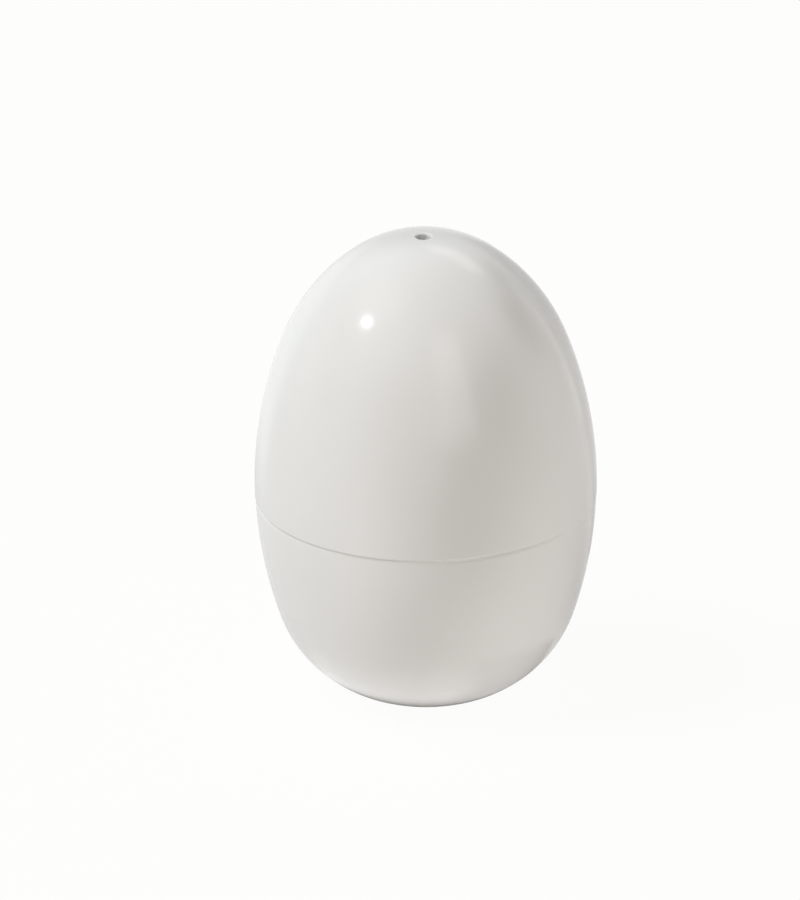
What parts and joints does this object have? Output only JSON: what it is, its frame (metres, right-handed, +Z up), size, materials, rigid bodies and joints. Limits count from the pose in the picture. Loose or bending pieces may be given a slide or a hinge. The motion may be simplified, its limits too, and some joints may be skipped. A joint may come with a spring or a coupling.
{
  "type": "microwave egg cooker",
  "caption": "Egg-shaped microwave steamer for a single egg: plastic base and push-on lid with a vent, metal tray and metal dome inside.",
  "frame": {"origin": "centre of the flat foot, on the surface that the cooker stands on", "axes": "+Z up along the egg's axis of revolution; X and Y level, with the two finger notches of the collar on the X axis"},
  "size_m": [0.067, 0.067, 0.0939],
  "materials": {
    "white_plastic": "polished white polypropylene",
    "inner_plastic": "satin white polypropylene",
    "tray_aluminium": "drawn and brushed round the axis",
    "dome_aluminium": "drawn, satin"
  },
  "bodies": {
    "base": {"base_shell": "white_plastic", "egg_tray": "tray_aluminium"},
    "lid": {"lid_shell": "white_plastic", "lid_reflector": "dome_aluminium", "reflector_ring": "inner_plastic"}
  },
  "joints": [
    {"name": "lid_lift", "type": "slide", "parent": "base", "child": "lid", "axis": [0, 0, 1], "range_m": [0, 0.075]}
  ]
}
